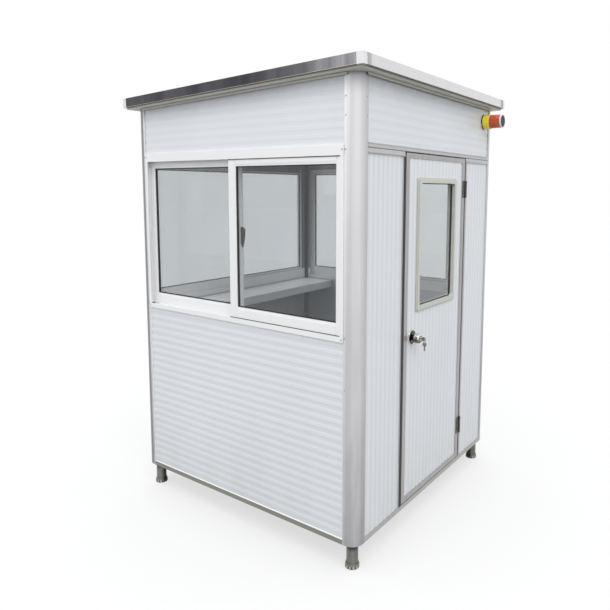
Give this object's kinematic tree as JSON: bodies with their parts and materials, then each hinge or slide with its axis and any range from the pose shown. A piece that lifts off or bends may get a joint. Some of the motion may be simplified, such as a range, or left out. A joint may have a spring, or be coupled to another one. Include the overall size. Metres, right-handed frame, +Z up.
{
  "type": "guard booth",
  "caption": "Free-standing guard booth of ribbed sandwich panels on short legs, with sliding windows, an outward-opening glazed door, a desk shelf, a warning beacon and a flat pitched roof.",
  "frame": {"origin": "on the ground, below the middle of the whole plan with the beacon included", "axes": "+Z up, the front window faces -Y, the door wall faces +X"},
  "size_m": [1.6657, 1.602, 2.3],
  "materials": {
    "leg_steel": "dull grey paint",
    "rail_aluminium": "satin",
    "column_aluminium": "satin anodised",
    "panel_skin": "ribbed, white coated",
    "roof_sheet": "white coated",
    "floor_board": "grey vinyl on board",
    "window_white": "white coated",
    "cream_plastic": "moulded",
    "glass": "clear float",
    "dark_latch": "matt",
    "door_aluminium": "satin",
    "hinge_steel": "satin",
    "fascia_steel": "polished",
    "cap_plastic": "moulded",
    "desk_board": "grey laminate",
    "black_rubber": "matt",
    "yellow_plastic": "gloss",
    "orange_lens": "translucent",
    "dark_plastic": "gloss",
    "knob_steel": "polished stainless",
    "key_metal": "nickel"
  },
  "bodies": {
    "booth": {"legs": "leg_steel", "bottom_rails": "rail_aluminium", "corner_columns": "column_aluminium", "front_lower_panel": "panel_skin", "front_upper_panel": "panel_skin", "left_lower_panel": "panel_skin", "left_upper_panel": "panel_skin", "rear_lower_panel": "panel_skin", "rear_upper_panel": "panel_skin", "door_side_upper_panel": "panel_skin", "latch_side_panel": "panel_skin", "hinge_side_panel": "panel_skin", "front_window_frame": "window_white", "front_outer_sash": "window_white", "front_inner_sash": "window_white", "left_window_frame": "window_white", "left_outer_sash": "window_white", "left_inner_sash": "window_white", "rear_window_frame": "window_white", "rear_outer_sash": "window_white", "rear_inner_sash": "window_white", "window_glass": "glass", "window_latches": "dark_latch", "transom_rail": "door_aluminium", "latch_jamb": "door_aluminium", "hinge_jamb": "door_aluminium", "jamb_hinge_leaves": "hinge_steel", "roof_panel": "roof_sheet", "roof_fascia": "fascia_steel", "roof_corner_caps": "cap_plastic", "desk_shelf": "desk_board", "floor_panel": "floor_board", "beacon_gasket": "black_rubber", "beacon_base": "yellow_plastic", "beacon_lens": "orange_lens", "beacon_cap": "dark_plastic"},
    "door": {"door_panel": "panel_skin", "door_edge_frame": "door_aluminium", "door_window_frame": "cream_plastic", "door_window_glass": "glass", "door_hinge_leaves": "hinge_steel", "door_rosettes": "knob_steel", "latch_bolt": "knob_steel"},
    "knob": {"door_knob": "knob_steel", "door_keys": "key_metal"}
  },
  "joints": [
    {"name": "door_hinge", "type": "hinge", "parent": "booth", "child": "door", "pos_m": [0.72305, 0.3485, 0], "axis": [0, 0, 1], "range_deg": [0, 115]},
    {"name": "knob_turn", "type": "hinge", "parent": "door", "child": "knob", "pos_m": [0.71705, -0.254, 1.009], "axis": [1, 0, 0], "range_deg": [-45, 45], "stiffness_Nm_per_rad": 0.4}
  ]
}
